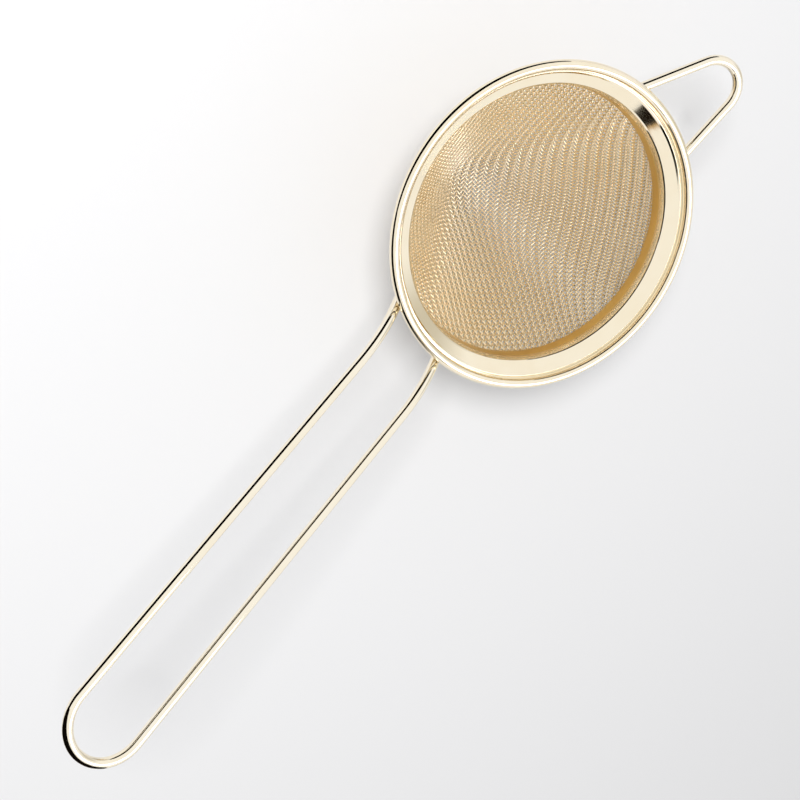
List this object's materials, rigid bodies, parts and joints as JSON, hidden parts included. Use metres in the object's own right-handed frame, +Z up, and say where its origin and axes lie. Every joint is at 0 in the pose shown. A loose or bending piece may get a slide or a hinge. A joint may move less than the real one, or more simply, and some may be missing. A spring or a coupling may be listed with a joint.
{
  "type": "tea_strainer",
  "caption": "Gold-toned steel tea strainer with a conical woven mesh, a long wire handle and a short wire cup hook",
  "frame": {"origin": "centre of the rim, in the plane of its top", "axes": "+Z up out of the opening, +X from the handle towards the cup hook, +Y across"},
  "size_m": [0.2274, 0.085, 0.0861],
  "materials": {
    "polished_gold": "polished gold-toned coating on stainless steel",
    "gold_cloth": "woven fine wire, gold-toned"
  },
  "bodies": {
    "root": {"rim_ring": "polished_gold", "mesh_cone": "gold_cloth", "clamp_band": "polished_gold", "handle_loop": "polished_gold", "hook_loop": "polished_gold"}
  },
  "joints": []
}
